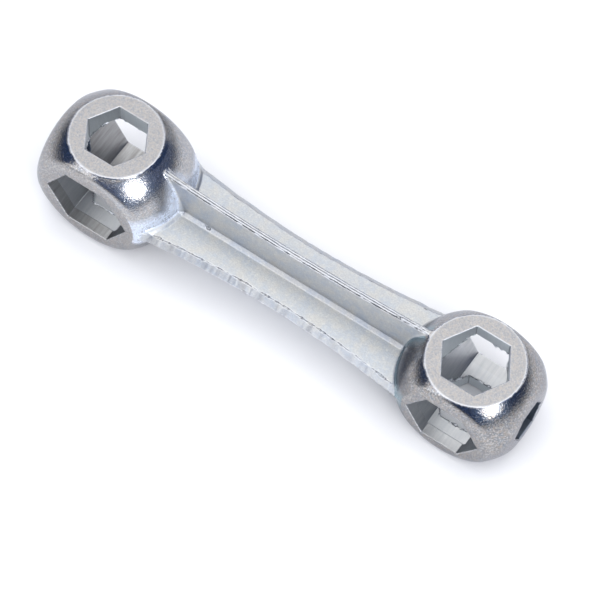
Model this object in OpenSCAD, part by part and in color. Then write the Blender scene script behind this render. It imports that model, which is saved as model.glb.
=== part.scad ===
// Ten-size dumbbell wrench: one cast bar with a ball-shaped head at each end.
// X runs along the handle, Z through the top and bottom sockets, Y through the side sockets.
// The parting plane of the casting is at z = axis_z, and z = 0 is the large head's lower ring face.

/* [Heads] */
// Distance between the centres of the two heads
head_spacing = 72.8; // [60:0.1:90]
// Diameter of the large head
large_d = 28; // [27:0.1:32]
// Diameter of the small head
small_d = 25.6; // [25:0.1:30]
// Distance from a head's centre to its end face
end_face = 11.35; // [11:0.05:11.8]
// Distance from a head's centre to its side faces
side_face = 9.3; // [9:0.1:10]
// Distance from the large head's centre to its top and bottom faces
large_top_face = 11.35; // [11:0.05:11.8]
// Distance from the small head's centre to its top and bottom faces
small_top_face = 9.55; // [9.2:0.05:9.8]

/* [Sockets] */
// Width added to every nominal socket size, across flats
socket_clearance = 0.2; // [0:0.05:0.3]
// Depth of each front side socket, where the wider back side socket's passage ends
front_depth = 2.2; // [1.5:0.1:4]
// Large head, front side socket, nominal size across flats
large_front = 14; // [12:1:14]
// Large head, back side socket
large_back = 15; // [13:1:15]
// Large head, top socket
large_top = 10; // [8:1:11]
// Large head, bottom socket
large_bottom = 8; // [6:1:11]
// Large head, end socket
large_end = 6; // [6:1:8]
// Small head, front side socket
small_front = 12; // [10:1:12]
// Small head, back side socket
small_back = 13; // [11:1:13]
// Small head, top socket
small_top = 11; // [8:1:11]
// Small head, bottom socket
small_bottom = 9; // [6:1:11]
// Small head, end socket
small_end = 7; // [6:1:7]

/* [Handle] */
// Thickness of the flange, which lies along the parting plane
flange_t = 2.2; // [1.6:0.1:3]
// Width of the flange at mid-length
flange_w = 12.4; // [10:0.1:14]
// Width that the flange gains from mid-length to where it meets the heads
flange_flare = 3.8; // [1:0.1:4]
// Height of each rib above the parting plane at mid-length
rib_h = 8.15; // [6:0.05:8.4]
// Height that each rib gains from mid-length to where it meets the heads
rib_flare = 1.2; // [0.5:0.1:1.2]
// Thickness of each rib at its free edge
rib_edge_t = 1.1; // [0.8:0.05:1.5]
// Thickness of each rib where it stands on the flange, before its root fillet
rib_root_t = 1.8; // [1.6:0.05:2.4]
// Radius of the fillet at each rib's root
root_r = 0.9; // [0.5:0.1:1.2]
// Half-length over which the handle's edges curve
flare_x = 26; // [22:1:30]

/* [Hidden] */
axis_z = large_top_face;
large_x = -head_spacing / 2;
small_x = head_spacing / 2;
handle_half = head_spacing / 2;
root_steps = 6;
curve_fn = 360;
reach = 40;

// Radius of an arc that rises by rise over a half-chord of half
function arc_r(half, rise) = (half * half + rise * rise) / (2 * rise);

// Hexagonal socket along +Z from z = from, out past any face, two corners on the X axis
module hex_socket(size, from = 0) {
    translate([0, 0, from])
        cylinder(h = reach, d = (size + socket_clearance) / cos(30), $fn = 6);
}

// Ball with flat faces on its sides, top and bottom, and on the end away from the handle.
// The end is on +X. Each socket runs from the centre out through its face, except the back
// side socket, whose passage goes on through the head as far as the front side socket.
module head(d, top_face, front, back, top, bottom, end) {
    difference() {
        intersection() {
            sphere(d = d, $fn = 128);
            translate([-d, -side_face, -top_face])
                cube([d + end_face, 2 * side_face, 2 * top_face]);
        }
        rotate([90, 0, 0]) hex_socket(front);
        rotate([-90, 0, 0]) hex_socket(back, front_depth - side_face);
        hex_socket(top);
        rotate([180, 0, 0]) hex_socket(bottom);
        rotate([0, 90, 0]) rotate([0, 0, 90]) hex_socket(end);
    }
}

// Space taken by the two balls, so that the handle's ends fit against them
module ball_space() {
    translate([large_x, 0, 0]) sphere(d = large_d, $fn = 128);
    translate([small_x, 0, 0]) sphere(d = small_d, $fn = 128);
}

// One side of a rib's section: root fillet, then the drafted flank up to height h
function rib_flank(h) = concat(
    [for (i = [0 : root_steps])
        let (a = 90 * i / root_steps)
        [rib_root_t / 2 + root_r * (1 - sin(a)), flange_t / 2 + root_r * (1 - cos(a))]],
    [[rib_edge_t / 2, h]]);

// Upright rib that stands on the flange and curves up towards both heads
module rib() {
    h = rib_h + rib_flare + 1;
    flank = rib_flank(h);
    other_flank = [for (i = [len(flank) - 1 : -1 : 0]) [-flank[i][0], flank[i][1]]];
    r = arc_r(flare_x, rib_flare);
    difference() {
        translate([-handle_half, 0, 0])
            rotate([90, 0, 90])
            linear_extrude(2 * handle_half)
            polygon(concat(flank, other_flank));
        translate([0, 0, rib_h + r]) rotate([90, 0, 0])
            cylinder(r = r, h = reach, center = true, $fn = curve_fn);
        ball_space();
    }
}

module large_head() {
    color("silver")
        translate([large_x, 0, axis_z]) mirror([1, 0, 0])
        head(large_d, large_top_face, large_front, large_back, large_top, large_bottom, large_end);
}

module small_head() {
    color("lightgray")
        translate([small_x, 0, axis_z])
        head(small_d, small_top_face, small_front, small_back, small_top, small_bottom, small_end);
}

// Flat bar along the parting plane, waisted at mid-length
module handle_flange() {
    r = arc_r(flare_x, flange_flare / 2);
    color("gainsboro") translate([0, 0, axis_z])
        difference() {
            translate([-handle_half, -flange_w, -flange_t / 2])
                cube([2 * handle_half, 2 * flange_w, flange_t]);
            for (side = [-1, 1])
                translate([0, side * (flange_w / 2 + r), 0])
                    cylinder(r = r, h = reach, center = true, $fn = curve_fn);
            ball_space();
        }
}

module top_rib() {
    color("gainsboro") translate([0, 0, axis_z]) rib();
}

module bottom_rib() {
    color("gainsboro") translate([0, 0, axis_z]) mirror([0, 0, 1]) rib();
}

large_head();
small_head();
handle_flange();
top_rib();
bottom_rib();
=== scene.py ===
"""Dumbbell wrench: a one-piece zinc-plated casting with a faceted ball at each end.

The whole casting is one distance field, so fillets, worn edges and the parting-line flash run on
from part to part. Its two heads and its handle are each meshed from that field, and cut at the
planes where they meet. The casting is worked out in millimetres, with z = 0 on its parting plane,
and then scaled and lifted into the frame. Sizes and places of the stage and lights are in metres.
"""

import math

import bmesh
import bpy
import numpy as np
from mathutils import Matrix, Vector


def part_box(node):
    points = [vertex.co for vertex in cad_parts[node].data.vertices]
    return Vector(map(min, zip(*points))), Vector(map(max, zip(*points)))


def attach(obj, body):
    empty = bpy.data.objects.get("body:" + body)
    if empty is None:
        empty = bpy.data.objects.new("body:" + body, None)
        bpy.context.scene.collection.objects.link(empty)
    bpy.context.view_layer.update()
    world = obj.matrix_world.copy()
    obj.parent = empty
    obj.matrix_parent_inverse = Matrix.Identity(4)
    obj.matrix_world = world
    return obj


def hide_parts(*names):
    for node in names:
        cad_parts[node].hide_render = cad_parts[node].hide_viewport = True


MM = 0.001
SLOPE = math.sqrt(0.5)

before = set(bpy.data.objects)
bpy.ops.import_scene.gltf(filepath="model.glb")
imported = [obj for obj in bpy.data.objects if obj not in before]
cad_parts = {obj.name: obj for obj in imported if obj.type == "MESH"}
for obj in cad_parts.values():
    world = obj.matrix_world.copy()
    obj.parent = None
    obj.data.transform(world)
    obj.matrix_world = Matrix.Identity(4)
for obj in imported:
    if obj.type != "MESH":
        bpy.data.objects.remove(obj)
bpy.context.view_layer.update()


# ---------------------------------------------------------------- places from the CAD frame


def box_mm(node):
    """A CAD node's lowest and highest corners, in millimetres."""
    low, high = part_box(node)
    return [v / MM for v in low], [v / MM for v in high]


class Head:
    """One ball: its centre, faces and sockets. side is -1 for the end at -X and 1 at +X."""

    def __init__(self, node, side, radius, sockets):
        low, high = box_mm(node)
        inner, outer = (high[0], low[0]) if side < 0 else (low[0], high[0])
        self.side = side
        self.radius = radius
        self.sockets = sockets
        self.x = inner + side * radius
        self.end_face = abs(outer - self.x)
        self.side_face = high[1]
        self.top_face = (high[2] - low[2]) / 2
        self.rim = math.sqrt(radius**2 - self.top_face**2)


# Sockets by the nut that they fit, each cut wider than the nut by the clearance
CLEARANCE = 0.2
LARGE_SOCKETS = dict(front=14, back=15, top=10, bottom=8, end=6)
SMALL_SOCKETS = dict(front=12, back=13, top=11, bottom=9, end=7)
# The front socket ends this far behind the front face, in the wider back one's passage
FRONT_DEPTH = 2.2
LARGE = Head("large_head", -1, 14.0, LARGE_SOCKETS)
SMALL = Head("small_head", 1, 12.8, SMALL_SOCKETS)
HEADS = (LARGE, SMALL)
# Height of the parting plane in the frame
AXIS_Z = box_mm("large_head")[1][2] / 2

# Handle: half sizes at its middle, and how much these grow from there to FLARE_X
FLARE_X = 26.0
FLANGE_HALF_T = 1.1
FLANGE_HALF_W = 6.2
FLANGE_FLARE = 1.9
RIB_H = 8.15
RIB_FLARE = 1.2
RIB_EDGE_HALF_T = 0.55
RIB_ROOT_HALF_T = 0.9
# Chamfer where the ribs meet the flange, and fillet where the handle meets the small ball
ROOT_CHAMFER = 0.6
SMALL_HEAD_FILLET = 0.75

# Marks of trimming along the flange's edges. The edge at -Y was trimmed roughly
TRIM_ROUGH = 0.2
TRIM_CLEAN = 0.12
LEDGE_DROP = 0.2
# Flash along the parting plane, and the groove that was torn on each side of it
FLASH_R = 0.16
FLASH_INSET = 0.08
TEAR_R = 0.1
TEAR_INSET = 0.02
TEAR_Z = 0.34
# Marks of trimming along the ribs' tops: a bevel at -Y, a shelf, two ridges, and grooves beside them
RIB_BEVEL = 0.2
SHELF_DROP = 0.2
RIDGE_R = 0.16
RIDGE_Y = 0.2
RIDGE_DROP = 0.06
GUTTER_R = 0.06
GUTTER_Y = -0.36
SCRATCH_R = 0.13
SCRATCH_Y = 0.5
# The shelf drops a step on the large head's side of this place
RIB_STEP_X = -16.6
RIB_STEP = 0.3
RIB_STEP_LENGTH = 0.3

# Roundness of the balls' edges, at the cast side and end faces, the ground faces and the sockets
CAST_EDGE = 0.9
GROUND_EDGE = 0.12
SOCKET_EDGE = 0.1
# Burr round the rims of the ground faces, and flash where two passages meet
BURR_R = 0.15
BURR_DEPTH = 0.13
BEAD_R = 0.06
BEAD_LUMP_OUTER = 0.25
BEAD_LUMP_INNER = 0.18
# The burr and beads may stand this far proud of the cast faces
PROUD = 0.02

# Small casting pits: centre, radius, and how much longer than wide they are
PITS = ((-16.5, -1.15, 1.4, 0.3), (21.4, -0.2, 8.95, 0.22), (6.2, -7.0, 0.9, 0.2))
PIT_STRETCH = 1.6
# The casting's surface swells and sinks by this much, over waves about this long
SWELL = 0.035
WAVE = 2.6

# Height of the finest relief, which is only in the material
RELIEF = 0.028

# Planes at which the casting is cut into its three visible pieces
SEAMS = (-21.0, 22.0)
# Grid steps of the meshes, how far the grid reaches along Y, and its spare cells at the other sides
HEAD_STEPS = ((0.2, 0.2, 0.2))
BAR_STEPS = ((0.36, 0.11, 0.11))
GRID_Y = 9.9
SPARE_CELLS = 3
# A vertex this near to a surface counts as lying on it
TOUCH = 0.06


# ---------------------------------------------------------------- distance field


class Noise:
    """Smooth random field between -1 and 1, with a feature size of 1."""

    def __init__(self, seed, cells=32):
        rng = np.random.default_rng(seed)
        self.cells = cells
        self.values = rng.uniform(-1, 1, (cells, cells, cells)).astype(np.float32)

    def __call__(self, x, y, z):
        out = 0
        whole, part = [], []
        for v in (x, y, z):
            base = np.floor(v)
            t = (v - base).astype(np.float32)
            whole.append(base.astype(np.int64) % self.cells)
            part.append(t * t * (3 - 2 * t))
        for corner in range(8):
            index, weight = [], 1
            for axis in range(3):
                up = (corner >> axis) & 1
                index.append((whole[axis] + up) % self.cells)
                weight = weight * (part[axis] if up else 1 - part[axis])
            out = out + weight * self.values[tuple(index)]
        return out


WAVES = Noise(3)
CHIPS = Noise(8)


def smooth_max(a, b, k):
    """The larger of a and b, with the crease between them rounded over a width of about k."""
    h = np.maximum(k - np.abs(a - b), 0) / k
    return np.maximum(a, b) + h * h * k / 4


def smooth_min(a, b, k):
    return -smooth_max(-a, -b, k)


def fillet_union(a, b, r):
    """a and b joined with a round fillet of radius r."""
    u = np.maximum(r - a, 0)
    v = np.maximum(r - b, 0)
    return np.maximum(r, np.minimum(a, b)) - np.sqrt(u * u + v * v)


def chamfer_union(a, b, c, soft=0.12):
    """a and b joined with a flat chamfer that starts about c from the crease."""
    return smooth_min(np.minimum(a, b), (a + b - c) * SLOPE, soft)


def arc(x, half, rise):
    """How far an arc that rises by rise over a half-chord of half has risen at x."""
    r = (half * half + rise * rise) / (2 * rise)
    return r - np.sqrt(r * r - x * x)


def hexagon(u, v, across):
    """Distance to a hexagonal hole with two corners on the u axis, and slightly soft corners."""
    au, av = np.abs(u), np.abs(v)
    return smooth_max(av, au * math.cos(math.pi / 6) + av / 2, 0.1) - across / 2


def ragged(x, edge):
    """How far a trimmed edge wanders at x, from about -0.7 to 0.7. Each edge has its own number."""
    level = np.zeros_like(x)
    coarse = CHIPS(x * 0.8, level + edge * 3.3, level)
    fine = CHIPS(x * 3.0, level + edge * 3.3, level + 9.5)
    return 0.6 * coarse + 0.4 * fine


def flange(x, y, z, wander, notch):
    """The waisted flat bar, whose edges have the ledges, grooves and flash that trimming leaves.

    What stands before wander or notch is how far that mark strays, in millimetres.
    """
    az = np.abs(z)
    over = az - FLANGE_HALF_T
    out = np.abs(y) - (FLANGE_HALF_W + arc(x, FLARE_X, FLANGE_FLARE))
    step = out + np.where(y < 0, TRIM_ROUGH, TRIM_CLEAN) + 0.13 * wander
    core = smooth_max(over, (step + over) * SLOPE, 0.08)
    ledge = smooth_max(over + LEDGE_DROP - 0.14 * wander, out, 0.14)
    groove = np.hypot(step, over) - np.where(y < 0, 0.14 + 0.26 * notch, 0.12 * notch - 0.02)
    flash = np.hypot(out + FLASH_INSET, az) - FLASH_R - 0.05 * wander
    tear = np.hypot(out + TEAR_INSET, az - TEAR_Z) - TEAR_R - 0.04 * wander
    solid = smooth_max(smooth_min(core, ledge, 0.04), -groove, 0.04)
    return smooth_max(smooth_min(solid, flash, 0.05), -tear, 0.04)


def rib(x, y, z, wander, notch):
    """The two upright ribs, tapered, with ridges, grooves and scratches along their tops."""
    ay, az = np.abs(y), np.abs(z)
    top = az - (RIB_H + arc(x, FLARE_X, RIB_FLARE))
    taper = (RIB_ROOT_HALF_T - RIB_EDGE_HALF_T) / (RIB_H - FLANGE_HALF_T)
    flank = ay - (RIB_ROOT_HALF_T - taper * (az - FLANGE_HALF_T))
    drop = np.clip((RIB_STEP_X - x) / RIB_STEP_LENGTH, 0, 1)
    bevel = (top - y - RIB_BEVEL - 0.05 * wander) * SLOPE
    crown = smooth_max(smooth_max(flank, top, 0.12), bevel, 0.05)
    shelf = smooth_max(flank, top + SHELF_DROP + RIB_STEP * drop - 0.06 * wander, 0.07)
    solid = smooth_min(crown, shelf, 0.04)
    gutter = np.hypot(y - GUTTER_Y, top + SHELF_DROP) - GUTTER_R - 0.1 * np.abs(notch) - 0.06 * drop
    solid = smooth_max(solid, -gutter, 0.04)
    for ridge_y in (-RIDGE_Y, RIDGE_Y):
        ridge = np.hypot(y - ridge_y - 0.06 * wander, top + RIDGE_DROP) - RIDGE_R - 0.06 * notch
        solid = smooth_min(solid, ridge, 0.05)
    scratch = np.hypot(y - SCRATCH_Y, top) - SCRATCH_R - 0.06 * wander
    return smooth_max(solid, -scratch, 0.03)


def handle(x, y, z):
    """Flange, ribs and pits, as far as the centre of each ball."""
    edge = np.sign(y) + 3 * np.sign(z)
    wander = ragged(x, edge)
    notch = ragged(x * 1.4, 10 + edge)
    ribs = rib(x, y, z, wander, notch)
    bar = chamfer_union(flange(x, y, z, wander, notch), ribs, ROOT_CHAMFER, 0.1)
    for px, py, pz, r in PITS:
        pit = np.sqrt(((x - px) / PIT_STRETCH) ** 2 + (y - py) ** 2 + (z - pz) ** 2) - r
        bar = smooth_max(bar, -pit, 0.1)
    return np.maximum(bar, np.maximum(LARGE.x - x, x - SMALL.x))


def collar(z):
    """Width of the large head's collar chamfer: wide over the flange and narrow along a rib."""
    return 0.38 + 0.52 * np.clip((4.8 - np.abs(z)) / 3.2, 0, 1)


def bores(head, x, y, z):
    """Distances to the passages along Y, Z and X, each negative inside its sockets."""
    size = {k: v + CLEARANCE for k, v in head.sockets.items()}
    front = hexagon(x, z, size["front"])
    step = head.side_face - FRONT_DEPTH
    back = np.maximum(hexagon(x, z, size["back"]), -step - y)
    side = np.minimum(np.maximum(front, y), back)
    top = np.maximum(hexagon(x, y, size["top"]), -z)
    bottom = np.maximum(hexagon(x, y, size["bottom"]), z)
    end = np.maximum(hexagon(y, z, size["end"]), -head.side * x)
    return side, np.minimum(top, bottom), end


def faces(head, x, y, z):
    """Distances outside the head's ground top and bottom, and outside its cast sides and end."""
    ground = np.abs(z) - head.top_face
    cast = smooth_max(np.abs(y) - head.side_face, head.side * x - head.end_face, 0.6)
    return ground, cast


def wrench(points):
    """Distance from each point to the surface of the casting, negative inside it."""
    x, y, z = points[..., 0], points[..., 1], points[..., 2]
    swell = SWELL * WAVES(x / WAVE, y / WAVE, z / WAVE)
    body = handle(x, y, z) + 0.3 * swell
    large, small = (np.sqrt((x - h.x) ** 2 + y * y + z * z) - h.radius + swell for h in HEADS)
    body = chamfer_union(body, large, collar(z))
    body = fillet_union(body, small, SMALL_HEAD_FILLET)
    for head in HEADS:
        near = head.side * x > 0
        hx = (x - head.x)[near]
        hy, hz = y[near], z[near]
        ground, cast = faces(head, hx, hy, hz)
        solid = smooth_max(body[near], cast, CAST_EDGE)
        solid = smooth_max(solid, ground, GROUND_EDGE)
        # The grinding of the top and bottom faces leaves a fine burr round their rims
        chips = CHIPS(hx * 1.3, hy * 1.3, hz * 1.3)
        burr = np.hypot(np.hypot(hx, hy) - head.rim - 0.05 * chips, ground + BURR_DEPTH)
        solid = smooth_min(solid, burr - BURR_R, 0.06)
        side, upright, end = bores(head, hx, hy, hz)
        passages = np.minimum(np.minimum(side, upright), end)
        solid = smooth_max(solid, -passages, SOCKET_EDGE)
        # Flash builds up in beads where two passages meet, most of all towards the outer end
        lumps = CHIPS(hx * 1.7 + 4, hy * 1.7, hz * 1.7) + 0.5 * CHIPS(hx * 5, hy * 5, hz * 5)
        lump = np.where(head.side * hx > 0, BEAD_LUMP_OUTER, BEAD_LUMP_INNER)
        bead = np.hypot(side, upright) - BEAD_R - lump * np.clip(lumps, 0, 1)
        solid = smooth_min(solid, bead, 0.08)
        body[near] = np.maximum(np.maximum(solid, ground), cast - PROUD)
    return body


def gradient(points, h=0.02):
    """The field's slope at each point, which is the surface's outward normal."""
    out = np.empty_like(points)
    for axis in range(3):
        step = np.zeros(3, np.float32)
        step[axis] = h
        out[:, axis] = (wrench(points + step) - wrench(points - step)) / (2 * h)
    return out


# ---------------------------------------------------------------- meshing


def near_field(axes, steps, block=4):
    """The distance field on a grid. A block of cells away from the surface takes one value."""
    middles = [a[::block] + s * (block - 1) / 2 for a, s in zip(axes, steps)]
    coarse = wrench(np.stack(np.meshgrid(*middles, indexing="ij"), -1).astype(np.float32))
    field = coarse
    for axis, a in enumerate(axes):
        field = np.repeat(field, block, axis).take(range(len(a)), axis)
    # From the middle of a block to its corner, and some more because the field isn't exact
    reach = 1.3 * np.linalg.norm(steps) * block / 2
    close = np.argwhere(np.abs(field) < reach)
    points = np.stack([a[i] for a, i in zip(axes, close.T)], -1)
    field[tuple(close.T)] = wrench(points)
    return field


def surface_net(low, high, steps):
    """Vertices and quads of the casting's surface between two corners, on a grid of those steps.

    A cell that the surface passes through has one vertex, at the mean of the places where it cuts
    the cell's edges. An edge that the surface cuts has one quad, between the four cells around it.
    """
    axes = [np.arange(a, b + s, s, dtype=np.float32) for a, b, s in zip(low, high, steps)]
    counts = [len(a) for a in axes]
    field = near_field(axes, steps)
    inside = field < 0
    total = np.zeros((field.size, 3), np.float32)
    hits = np.zeros(field.size, np.int32)
    strides = np.array([counts[1] * counts[2], counts[2], 1])
    quads = []
    for axis in range(3):
        u, v = (axis + 1) % 3, (axis + 2) % 3
        first = [slice(None)] * 3
        second = [slice(None)] * 3
        first[axis], second[axis] = slice(None, -1), slice(1, None)
        a, b = inside[tuple(first)], inside[tuple(second)]
        edge = np.argwhere(a != b)
        # An edge on the end plane of the grid has no cell on its outer side
        whole = (edge[:, u] > 0) & (edge[:, v] > 0)
        whole &= (edge[:, u] < counts[u] - 1) & (edge[:, v] < counts[v] - 1)
        edge = edge[whole]
        fa = field[tuple(first)][tuple(edge.T)]
        fb = field[tuple(second)][tuple(edge.T)]
        crossing = edge.astype(np.float32)
        crossing[:, axis] += fa / (fa - fb)
        cell = edge @ strides
        around = [cell, cell - strides[u], cell - strides[u] - strides[v], cell - strides[v]]
        for c in around:
            for k in range(3):
                total[:, k] += np.bincount(c, crossing[:, k], field.size).astype(np.float32)
            hits += np.bincount(c, minlength=field.size).astype(np.int32)
        quad = np.stack(around, 1)
        outward = a[tuple(edge.T)]
        quad[~outward] = quad[~outward][:, ::-1]
        quads.append(quad)
    used = np.flatnonzero(hits)
    corner = np.array([a[0] for a in axes], np.float32)
    points = corner + np.array(steps, np.float32) * (total[used] / hits[used, None])
    number = np.full(field.size, -1)
    number[used] = np.arange(len(used))
    return points.astype(np.float32), number[np.concatenate(quads)]


def onto_surface(points, h=0.02):
    """Moves every point one step along the field's slope to the surface."""
    value = wrench(points)
    slope = np.empty_like(points)
    for axis in range(3):
        step = np.zeros(3, np.float32)
        step[axis] = h
        slope[:, axis] = (wrench(points + step) - value) / h
    size = np.maximum((slope * slope).sum(1), 0.05)
    return points - np.clip(slope * (value / size)[:, None], -0.15, 0.15)


def settle(points, quads, rounds):
    """Evens out the quads, and keeps every vertex on the surface."""
    hits = np.bincount(quads.ravel(), minlength=len(points))
    for _ in range(rounds):
        centre = points[quads].mean(1)
        total = np.zeros_like(points)
        for k in range(3):
            for corner in range(4):
                total[:, k] += np.bincount(quads[:, corner], centre[:, k], len(points))
        points = points + 0.5 * (total / hits[:, None] - points)
        points = onto_surface(points)
    return onto_surface(points)


def cut(bm, x, keep_above):
    """Cuts bm at the plane x, and closes the cut."""
    geometry = bm.verts[:] + bm.edges[:] + bm.faces[:]
    side = dict(clear_inner=keep_above, clear_outer=not keep_above)
    bmesh.ops.bisect_plane(bm, geom=geometry, plane_co=(x, 0, 0), plane_no=(1, 0, 0), **side)
    rim = [e for e in bm.edges if e.is_boundary]
    bmesh.ops.holes_fill(bm, edges=rim, sides=0)


def bend(points, h=0.1):
    """Sum of the surface's curvatures at each point, positive on an outer edge, in 1/mm."""
    total = -6 * wrench(points)
    for axis in range(3):
        step = np.zeros(3, np.float32)
        step[axis] = h
        total += wrench(points + step) + wrench(points - step)
    return total / (h * h)


ZONES = ("ground", "rim", "painted_glow", "junction_shade", "inner_shade", "bore_x", "bore_y", "bore_z", "deep")
# A ring face's painted highlight along its rim: how far below the face it runs, and how wide it is
RIM_DROP = 0.08
RIM_WIDTH = 0.16
# The handle's plate ends this far outside a ball
BAR_END = 0.3
# How far the painted glow on the large ball reaches from the handle, at most and at least. It
# narrows by the two slopes above and below the parting plane, and fades out over the last stretch
PAINTED_GLOW_REACH = 7.6
PAINTED_GLOW_LEAST = 0.3
PAINTED_GLOW_SLOPE_UP = 0.7
PAINTED_GLOW_SLOPE_DOWN = 1.8
PAINTED_GLOW_FADE = 2.8
# A thinner painted glow, the bloom, lies over the upper inner side of the large ball
PAINTED_BLOOM = 0.12
# The small ball's painted dark blue-green shade fades out over this distance from the handle
JUNCTION_SHADE_FADE = 1.7
# How pale the plate is, from 0 to 1, at the mouths of each head's front and back sockets, and on
# the outer side of the large head's top one
LARGE_MOUTH = 0.15
SMALL_MOUTH = 0.8
OUTER_SIDE = 0.2
# Curvatures, in 1/mm: of a full edge, of a starting crease, and how much more makes that one full
EDGE_BEND = 7
CREASE_START = 1.3
CREASE_BEND = 4


def socket_zones(zone, head, near, hx, y, z):
    """Marks the passage each point is in. deep is 0 on dark plate and 1 on the pale plate inside."""
    distances = bores(head, hx, y, z)
    nearest = np.argmin(np.abs(distances), 0)
    inside = near & (np.min(distances, 0) < TOUCH)
    for number, key in enumerate(("bore_y", "bore_z", "bore_x")):
        zone[key][inside & (nearest == number)] = 1
    deep = zone["deep"]
    deep[inside] = LARGE_MOUTH if head is LARGE else SMALL_MOUTH
    deep[inside & (np.abs(y) < head.side_face - FRONT_DEPTH)] = 1
    if head is LARGE:
        # Painted shade on the outer wall under the top socket; that socket's outer side is darker
        wall = inside & (nearest == 0) & (hx < -1.5) & (z < -1) & (y > -5)
        deep[wall] = np.clip(-0.5 * y - 1, 0.05, 1)[wall]
        deep[inside & (nearest == 1) & (hx < -2) & (z > 0)] = OUTER_SIDE


def ball_patches(head, hx, z, off_handle):
    """Painted glow and shade patches on a ball, from 1 where a patch is full to 0 where it ends."""
    if head is LARGE:
        narrowing = np.where(z > 0, PAINTED_GLOW_SLOPE_UP * z, -PAINTED_GLOW_SLOPE_DOWN * z)
        reach = np.maximum(PAINTED_GLOW_REACH - narrowing, PAINTED_GLOW_LEAST)
        joint = np.clip((reach - off_handle) / PAINTED_GLOW_FADE, 0, 1)
        bloom = PAINTED_BLOOM * np.clip((hx + 1) / 4, 0, 1) * (z > -1)
        return {"painted_glow": np.maximum(joint, bloom)}
    joint = np.clip(1.3 - off_handle / JUNCTION_SHADE_FADE, 0, 1)
    inner_side = np.clip((-hx - 4.5) / 4, 0, 1) * np.clip((8.5 - z) / 3, 0, 1)
    return {"junction_shade": joint, "inner_shade": inner_side * (1 - joint)}


def zones(points, normals):
    """Vertex values, from 0 to 1, that tell the material which surface it is on.

    ground and rim are the ring faces and a painted highlight on their edges, and bar is the handle.
    The large ball has a painted glow where it meets the handle; the small ball has painted shade
    there and on its inner side. edge and crease are where the surface bends sharply out or in.
    """
    x, y, z = points.T
    zone = {key: np.zeros(len(points), np.float32) for key in ZONES}
    zone["bar"] = np.ones(len(points), np.float32)
    off_handle = handle(x, y, z)
    for head in HEADS:
        near = head.side * x > 0
        hx = x - head.x
        from_axis = np.hypot(hx, y)
        on_ring = (np.abs(np.abs(z) - head.top_face) < TOUCH) & (np.abs(normals[:, 2]) > 0.9)
        ground = near & on_ring & (from_axis < head.rim + 0.3)
        zone["ground"][ground] = 1
        # A painted highlight along the rim of the ring face
        off_rim = np.hypot(from_axis - head.rim, np.abs(z) - head.top_face + RIM_DROP)
        zone["rim"][near] = np.clip(1.6 - off_rim / RIM_WIDTH, 0, 1)[near]
        socket_zones(zone, head, near & ~ground, hx, y, z)
        off_ball = np.sqrt(hx**2 + y**2 + z**2) - head.radius
        zone["bar"][near & (off_ball < BAR_END)] = 0
        on_ball = near & (np.abs(off_ball) < 0.5) & (np.abs(z) < head.top_face - 0.6)
        for key, patch in ball_patches(head, hx, z, off_handle).items():
            zone[key][on_ball] = patch[on_ball]
    curvature = bend(points)
    # Outer edges carry a painted highlight
    zone["edge"] = np.clip(curvature / EDGE_BEND, 0, 1)
    # On the handle a crease has to be sharper to be darkened
    zone["crease"] = np.clip((-curvature - CREASE_START - 2 * zone["bar"]) / CREASE_BEND, 0, 1)
    return zone


def make_piece(name, low, high, steps, nodes):
    """Meshes the casting between the planes x = low and x = high."""
    spare_x = SPARE_CELLS * steps[0]
    spare_z = SPARE_CELLS * steps[2]
    start = (low - spare_x, -GRID_Y, -AXIS_Z - spare_z)
    end = (high + spare_x, GRID_Y, AXIS_Z + spare_z)
    points, quads = surface_net(start, end, steps)
    points = settle(points, quads, rounds=3)
    mesh = bpy.data.meshes.new(name)
    mesh.from_pydata(points.tolist(), [], quads.tolist())
    bm = bmesh.new()
    bm.from_mesh(mesh)
    for x, keep_above in ((low, True), (high, False)):
        if x in SEAMS:
            cut(bm, x, keep_above)
    bm.to_mesh(mesh)
    bm.free()
    points = np.empty(len(mesh.vertices) * 3, np.float32)
    mesh.vertices.foreach_get("co", points)
    points = points.reshape(-1, 3)
    normals = gradient(points)
    normals /= np.linalg.norm(normals, axis=1)[:, None]
    for key, values in zones(points, normals).items():
        mesh.attributes.new(key, "FLOAT", "POINT").data.foreach_set("value", values)
    mesh.transform(Matrix.Translation((0, 0, AXIS_Z * MM)) @ Matrix.Scale(MM, 4))
    mesh.polygons.foreach_set("use_smooth", [True] * len(mesh.polygons))
    mesh.normals_split_custom_set_from_vertices(normals.tolist())
    piece = bpy.data.objects.new(name, mesh)
    bpy.context.collection.objects.link(piece)
    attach(piece, "root")
    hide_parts(*nodes)
    return piece


def build_casting():
    left = LARGE.x - LARGE.end_face
    right = SMALL.x + SMALL.end_face
    bar_nodes = ("handle_flange", "top_rib", "bottom_rib")
    return (
        make_piece("large_head_casting", left, SEAMS[0], HEAD_STEPS, ("large_head",)),
        make_piece("handle_casting", SEAMS[0], SEAMS[1], BAR_STEPS, bar_nodes),
        make_piece("small_head_casting", SEAMS[1], right, HEAD_STEPS, ("small_head",)),
    )


# ---------------------------------------------------------------- materials

# Plate on the balls
BALL_COOL = (0.25, 0.27, 0.295, 1)
BALL_WARM = (0.31, 0.305, 0.30, 1)
BALL_STAIN = (0.37, 0.325, 0.28, 1)
BALL_LIGHT_SPECK = (0.60, 0.59, 0.58, 1)
BALL_DARK_SPECK = (0.15, 0.16, 0.18, 1)
BALL_PALE = (0.62, 0.60, 0.58, 1)
# Painted glow on the large ball by the handle, and painted shade on the small ball
BALL_PAINTED_GLOW = (0.76, 0.85, 1.0, 1)
BALL_INNER_SHADE = (0.07, 0.07, 0.08, 1)
BALL_JUNCTION_SHADE = (0.22, 0.31, 0.35, 1)
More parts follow.
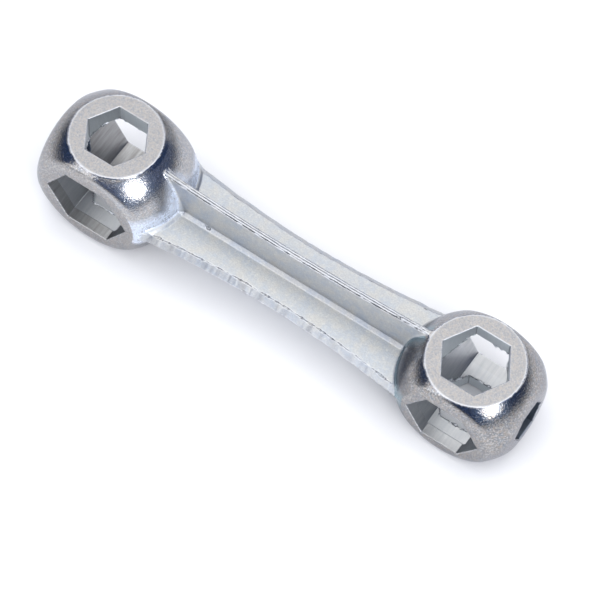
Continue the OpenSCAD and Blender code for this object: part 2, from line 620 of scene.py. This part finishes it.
# Plate on the handle
HANDLE_COOL = (0.505, 0.54, 0.58, 1)
HANDLE_WARM = (0.60, 0.595, 0.57, 1)
HANDLE_STAIN = (0.66, 0.66, 0.63, 1)
HANDLE_SPECK = (0.41, 0.42, 0.44, 1)
# Plate on the ground ring faces
RING_DARK = (0.42, 0.43, 0.46, 1)
RING_LIGHT = (0.60, 0.575, 0.54, 1)
RING_GRAIN = (0.30, 0.30, 0.32, 1)
RING_STAIN = (0.54, 0.50, 0.46, 1)
# Plate in the sockets, from the dark to the light streaks
MOUTH_DARK = (0.27, 0.26, 0.25, 1)
MOUTH_LIGHT = (0.46, 0.46, 0.46, 1)
INNER_DARK = (0.44, 0.46, 0.48, 1)
INNER_LIGHT = (0.58, 0.58, 0.58, 1)
# Painted light on the walls of the top and bottom sockets, and painted shade in the end socket
UPRIGHT_SOCKET_LIGHT = (0.72, 0.78, 0.80, 1)
END_SOCKET_SHADE = (0.10, 0.14, 0.20, 1)
# Painted highlight on edges and rims, and the colour that darkens creases
EDGE_HIGHLIGHT = (0.80, 0.81, 0.84, 1)
CREASE_DARK = (0.10, 0.10, 0.12, 1)
PLATE_SPECULAR = (0.75, 0.76, 0.80, 1)


class Graph:
    """Short calls for building a node tree. An input is a number, a colour or another socket."""

    def __init__(self, tree):
        self.nodes = tree.nodes
        self.links = tree.links

    def put(self, socket, value):
        if isinstance(value, bpy.types.NodeSocket):
            self.links.new(value, socket)
        else:
            socket.default_value = value

    def math(self, operation, *values, clamp=False):
        node = self.nodes.new("ShaderNodeMath")
        node.operation = operation
        node.use_clamp = clamp
        for socket, value in zip(node.inputs, values):
            self.put(socket, value)
        return node.outputs[0]

    def vector(self, operation, a, b):
        node = self.nodes.new("ShaderNodeVectorMath")
        node.operation = operation
        self.put(node.inputs[0], a)
        self.put(node.inputs[1], b)
        return node.outputs[0]

    def noise(self, place, feature, detail=2.0, roughness=0.5):
        """Noise from 0 to 1, whose features are about that many millimetres across."""
        node = self.nodes.new("ShaderNodeTexNoise")
        self.put(node.inputs["Vector"], place)
        node.inputs["Scale"].default_value = 1 / feature
        node.inputs["Detail"].default_value = detail
        node.inputs["Roughness"].default_value = roughness
        return node.outputs[0]

    def span(self, value, low, high, to_low=0.0, to_high=1.0):
        """value taken from the range low to high into the range to_low to to_high, and clamped."""
        node = self.nodes.new("ShaderNodeMapRange")
        for socket, v in zip(node.inputs, (value, low, high, to_low, to_high)):
            self.put(socket, v)
        return node.outputs[0]

    def blend(self, factor, a, b):
        """Colour a where factor is 0 and b where it is 1."""
        node = self.nodes.new("ShaderNodeMix")
        node.data_type = "RGBA"
        self.put(node.inputs[0], factor)
        self.put(node.inputs[6], a)
        self.put(node.inputs[7], b)
        return node.outputs[2]

    def zone(self, name):
        """One of the mesh's vertex values, from zones()."""
        node = self.nodes.new("ShaderNodeAttribute")
        node.attribute_name = name
        return node.outputs["Fac"]


def ball_plate(g, place, noise, zone, painted_glow):
    """Shiny plate: mottled, with warm stains, light and dark specks, and painted glow and shade."""
    tint = g.blend(g.span(noise["cloud"], 0.35, 0.65), BALL_COOL, BALL_WARM)
    tint = g.blend(g.span(noise["stain"], 0.42, 0.66), tint, BALL_STAIN)
    tint = g.blend(g.span(noise["speck"], 0.52, 0.78), tint, BALL_LIGHT_SPECK)
    tint = g.blend(g.span(noise["speck"], 0.46, 0.22), tint, BALL_DARK_SPECK)
    # The plate is paler towards the large ball, at -X
    split = g.nodes.new("ShaderNodeSeparateXYZ")
    g.put(split.inputs[0], place)
    tint = g.blend(g.span(split.outputs["X"], 20, -20, 0, 0.12), tint, BALL_PALE)
    # Painted glow on the large ball by the handle
    tint = g.blend(g.math("MULTIPLY", painted_glow, 0.9), tint, BALL_PAINTED_GLOW)
    # Painted shade on the small ball's inner side, and dark blue-green where it meets the handle
    tint = g.blend(g.math("MULTIPLY", zone["inner_shade"], 0.65), tint, BALL_INNER_SHADE)
    return g.blend(g.math("MULTIPLY", zone["junction_shade"], 0.8), tint, BALL_JUNCTION_SHADE)


def handle_plate(g, noise):
    """Satin plate, with cool and warm clouds."""
    tint = g.blend(g.span(noise["cloud"], 0.38, 0.62), HANDLE_COOL, HANDLE_WARM)
    tint = g.blend(g.span(noise["stain"], 0.5, 0.75), tint, HANDLE_STAIN)
    return g.blend(g.span(noise["speck"], 0.38, 0.62, 0.4, 0.0), tint, HANDLE_SPECK)


def ring_plate(g, place, noise):
    """Matte plate on the ground faces, with fine dark grain."""
    tint = g.blend(g.span(noise["speck"], 0.35, 0.65), RING_DARK, RING_LIGHT)
    tint = g.blend(g.span(g.noise(place, 0.15), 0.42, 0.7, 0.0, 0.7), tint, RING_GRAIN)
    return g.blend(g.span(noise["stain"], 0.45, 0.7), tint, RING_STAIN)


def draw_marks(g, place, zone):
    """Streaks along each socket: noise that is stretched along the socket's own axis."""
    marks = 0.5
    for key, stretch in (("bore_x", (0.08, 1, 1)), ("bore_y", (1, 0.08, 1)), ("bore_z", (1, 1, 0.12))):
        streak = g.noise(g.vector("MULTIPLY", place, stretch), 0.45, 3.0, 0.6)
        marks = g.math("ADD", marks, g.math("MULTIPLY", zone[key], g.math("SUBTRACT", streak, 0.5)))
    return marks


def socket_plate(g, marks, zone):
    """Dark streaky plate at the mouths, and paler plate inside."""
    mouth = g.blend(g.span(marks, 0.25, 0.75), MOUTH_DARK, MOUTH_LIGHT)
    inner = g.blend(g.span(marks, 0.2, 0.8), INNER_DARK, INNER_LIGHT)
    return g.blend(zone["deep"], mouth, inner)


def zinc_plate():
    """Bright zinc plate over a cast surface: shiny balls, satin handle, matte ground faces."""
    mat = bpy.data.materials.new("zinc_plate")
    mat.use_nodes = True
    g = Graph(mat.node_tree)
    shader = g.nodes["Principled BSDF"]
    shader.inputs["Specular Tint"].default_value = PLATE_SPECULAR
    zone = {key: g.zone(key) for key in (*ZONES, "bar", "edge", "crease")}
    cross = g.math("ADD", zone["bore_x"], zone["bore_y"])
    socket = g.math("ADD", cross, zone["bore_z"], clamp=True)

    coords = g.nodes.new("ShaderNodeTexCoord").outputs["Object"]
    place = g.vector("MULTIPLY", coords, (1 / MM, 1 / MM, 1 / MM))
    aside = g.vector("ADD", place, (31.0, 7.0, 3.0))
    noise = {
        "speck": g.noise(place, 0.26, 1.0),
        "cloud": g.noise(place, 2.2, 3.0, 0.55),
        "stain": g.noise(aside, 0.6, 3.0, 0.65),
    }
    # The painted glow by the handle, broken up by the stains and specks
    painted_glow = g.math("MULTIPLY", zone["painted_glow"], g.span(noise["stain"], 0.3, 0.62, 1.0, 0.7))
    painted_glow = g.math("MULTIPLY", painted_glow, g.span(noise["speck"], 0.3, 0.7, 0.88, 1.0))
    marks = draw_marks(g, place, zone)

    tint = g.blend(zone["bar"], ball_plate(g, place, noise, zone, painted_glow), handle_plate(g, noise))
    tint = g.blend(socket, tint, socket_plate(g, marks, zone))
    # Painted light pales the top and bottom sockets' walls; painted shade darkens the end socket
    tint = g.blend(g.math("MULTIPLY", zone["bore_z"], 0.6), tint, UPRIGHT_SOCKET_LIGHT)
    tint = g.blend(g.math("MULTIPLY", zone["bore_x"], 0.75), tint, END_SOCKET_SHADE)
    tint = g.blend(zone["ground"], tint, ring_plate(g, place, noise))
    # Painted highlights brighten edges and rims, and creases are darkened
    edge_highlight = g.math("MAXIMUM", zone["edge"], zone["rim"])
    tint = g.blend(g.math("MULTIPLY", edge_highlight, 0.75), tint, EDGE_HIGHLIGHT)
    tint = g.blend(g.math("MULTIPLY", zone["crease"], 0.8), tint, CREASE_DARK)
    g.put(shader.inputs["Base Color"], tint)

    metallic = 1.0
    losses = ((zone["bar"], 0.12), (painted_glow, 0.85), (zone["junction_shade"], 0.3), (zone["bore_z"], 0.25))
    for where, loss in losses:
        metallic = g.math("SUBTRACT", metallic, g.math("MULTIPLY", where, loss))
    g.put(shader.inputs["Metallic"], metallic)
    rough = g.span(noise["cloud"], 0.3, 0.7, 0.11, 0.16)
    for where, extra in ((zone["bar"], 0.26), (painted_glow, 0.2), (socket, 0.2), (zone["ground"], 0.32)):
        rough = g.math("ADD", rough, g.math("MULTIPLY", where, extra))
    g.put(shader.inputs["Roughness"], rough)

    grain = g.noise(place, 0.24, 2.0, 0.6)
    pits = g.span(g.noise(place, 0.55, 2.0), 0.62, 0.75, 0.0, -1.0)
    relief = g.math("ADD", grain, g.math("MULTIPLY", pits, 0.4))
    relief = g.math("ADD", relief, g.math("MULTIPLY", marks, 0.4))
    bump = g.nodes.new("ShaderNodeBump")
    bump.inputs["Distance"].default_value = RELIEF * MM
    g.put(bump.inputs["Strength"], g.math("SUBTRACT", 1.0, g.math("MULTIPLY", painted_glow, 0.85)))
    g.put(bump.inputs["Height"], relief)
    g.put(shader.inputs["Normal"], bump.outputs[0])
    return mat


# ---------------------------------------------------------------- stage, light and camera

FLOOR_SIZE = 3
# A pool of light is painted on the table: lit near the wrench and dim far from it
FLOOR_LIT = (0.90, 0.90, 0.91, 1)
FLOOR_UNLIT = (0.40, 0.40, 0.41, 1)
# The table goes from its near to its far colour between these distances from the wrench's middle
FLOOR_FADE = (0.06, 0.26)

# Colours of the surround by height, where 0 is the horizon and all below it, and 1 straight above
BACKDROP = (
    (0.0, (0.15, 0.15, 0.16)),
    (0.08, (0.06, 0.07, 0.09)),
    (0.15, (0.024, 0.040, 0.090)),
    (0.64, (0.026, 0.046, 0.11)),
    (0.78, (0.74, 0.75, 0.77)),
    (1.0, (0.80, 0.80, 0.80)),
)
FAR_WALL = (0.46, 0.465, 0.48, 1)
BACKDROP_STRENGTH = 2.1
# Where the key light stands
KEY = dict(azimuth=333, elevation=27)
GLOW_BLUE = (0.5, 0.68, 1.0)

# The camera stands in front of the wrench, to its right and above, and is turned a little
CAMERA_AZIMUTH = math.radians(30.3)
CAMERA_ELEVATION = math.radians(62.2)
CAMERA_ROLL = math.radians(4.2)
# How far off it stands, and where it looks: right of and below the wrench's middle in the picture
CAMERA_DISTANCE = 558.1
AIM_RIGHT = 1.43
AIM_DOWN = 4.05
LENS = 196.5
SENSOR_WIDTH = 36


def make_floor():
    """Pale table. The small head's lower face is nearer the axis, so the table leans to meet both."""
    lean = (LARGE.top_face - SMALL.top_face) / (SMALL.x + SMALL.rim - LARGE.x - LARGE.rim)
    bpy.ops.mesh.primitive_plane_add(size=FLOOR_SIZE)
    floor = bpy.context.object
    floor.name = "floor"
    floor.rotation_euler = (0, -math.atan(lean), 0)
    floor.location = (0, 0, -(LARGE.x + LARGE.rim) * lean * MM)
    mat = bpy.data.materials.new("pale_table")
    mat.use_nodes = True
    shader = mat.node_tree.nodes["Principled BSDF"]
    shader.inputs["Roughness"].default_value = 0.8
    g = Graph(mat.node_tree)
    away = g.nodes.new("ShaderNodeVectorMath")
    away.operation = "LENGTH"
    g.put(away.inputs[0], g.nodes.new("ShaderNodeTexCoord").outputs["Object"])
    # Painted pool of light: the table darkens away from the wrench's middle
    far = g.span(away.outputs["Value"], *FLOOR_FADE)
    g.put(shader.inputs["Base Color"], g.blend(far, FLOOR_LIT, FLOOR_UNLIT))
    floor.data.materials.append(mat)


def direction(azimuth, elevation):
    """Unit vector, with azimuth counted from +X towards +Y, in degrees."""
    a, e = math.radians(azimuth), math.radians(elevation)
    return Vector((math.cos(a) * math.cos(e), math.sin(a) * math.cos(e), math.sin(e)))


def softbox(name, azimuth, elevation, distance, size, power, color=(1, 1, 1)):
    """A rectangular light that faces the frame's origin."""
    light = bpy.data.lights.new(name, "AREA")
    light.shape = "RECTANGLE"
    light.size, light.size_y = size
    light.energy = power
    light.color = color
    lamp = bpy.data.objects.new(name, light)
    bpy.context.collection.objects.link(lamp)
    away = direction(azimuth, elevation)
    lamp.location = away * distance
    lamp.rotation_euler = away.to_track_quat("Z", "Y").to_euler()
    return lamp


def make_world():
    """Studio surround: a bright ceiling and far wall, and a dark blue band round the rest."""
    world = bpy.data.worlds.new("studio")
    bpy.context.scene.world = world
    world.use_nodes = True
    g = Graph(world.node_tree)
    coords = g.nodes.new("ShaderNodeTexCoord").outputs["Generated"]
    split = g.nodes.new("ShaderNodeSeparateXYZ")
    g.put(split.inputs[0], coords)
    ramp = g.nodes.new("ShaderNodeValToRGB")
    g.put(ramp.inputs[0], split.outputs["Z"])
    band = ramp.color_ramp
    while len(band.elements) < len(BACKDROP):
        band.elements.new(0.5)
    for element, (height, color) in zip(band.elements, BACKDROP):
        element.position = height
        element.color = (*color, 1)
    across = g.span(split.outputs["Y"], 0.82, 0.95)
    wall = g.math("MULTIPLY", across, g.span(split.outputs["Z"], 0.05, 0.2))
    background = g.nodes["Background"]
    g.put(background.inputs["Color"], g.blend(wall, ramp.outputs[0], FAR_WALL))
    background.inputs["Strength"].default_value = BACKDROP_STRENGTH


def make_camera():
    azimuth, elevation, roll = CAMERA_AZIMUTH, CAMERA_ELEVATION, CAMERA_ROLL
    back = Vector(
        (
            math.sin(azimuth) * math.cos(elevation),
            -math.cos(azimuth) * math.cos(elevation),
            math.sin(elevation),
        )
    )
    level = Vector((math.cos(azimuth), math.sin(azimuth), 0))
    rise = back.cross(level)
    right = math.cos(roll) * level + math.sin(roll) * rise
    up = math.cos(roll) * rise - math.sin(roll) * level
    lens = bpy.data.cameras.new("camera")
    lens.sensor_width = SENSOR_WIDTH
    lens.lens = LENS
    camera = bpy.data.objects.new("camera", lens)
    bpy.context.collection.objects.link(camera)
    place = Vector((0, 0, AXIS_Z)) + back * CAMERA_DISTANCE + right * AIM_RIGHT - up * AIM_DOWN
    turn = Matrix((right, up, back)).transposed().to_4x4()
    camera.matrix_world = Matrix.Translation(place * MM) @ turn
    bpy.context.scene.camera = camera


make_camera()
make_world()
make_floor()
softbox("key", **KEY, distance=1.0, size=(0.34, 0.36), power=3.3)
softbox("side", azimuth=241, elevation=24, distance=1.0, size=(0.58, 0.84), power=2.6)
# A blue glow round the key light, which shows in reflections only
glow = softbox("glow", **KEY, distance=1.1, size=(0.95, 0.95), power=0.9, color=GLOW_BLUE)
glow.visible_diffuse = False
# Light from above, which doesn't show in reflections
ceiling = softbox("ceiling", azimuth=0, elevation=90, distance=1.5, size=(3, 3), power=16)
ceiling.visible_glossy = False
bpy.context.scene.view_settings.view_transform = "Standard"
finish_mat = zinc_plate()
for piece in build_casting():
    piece.data.materials.append(finish_mat)
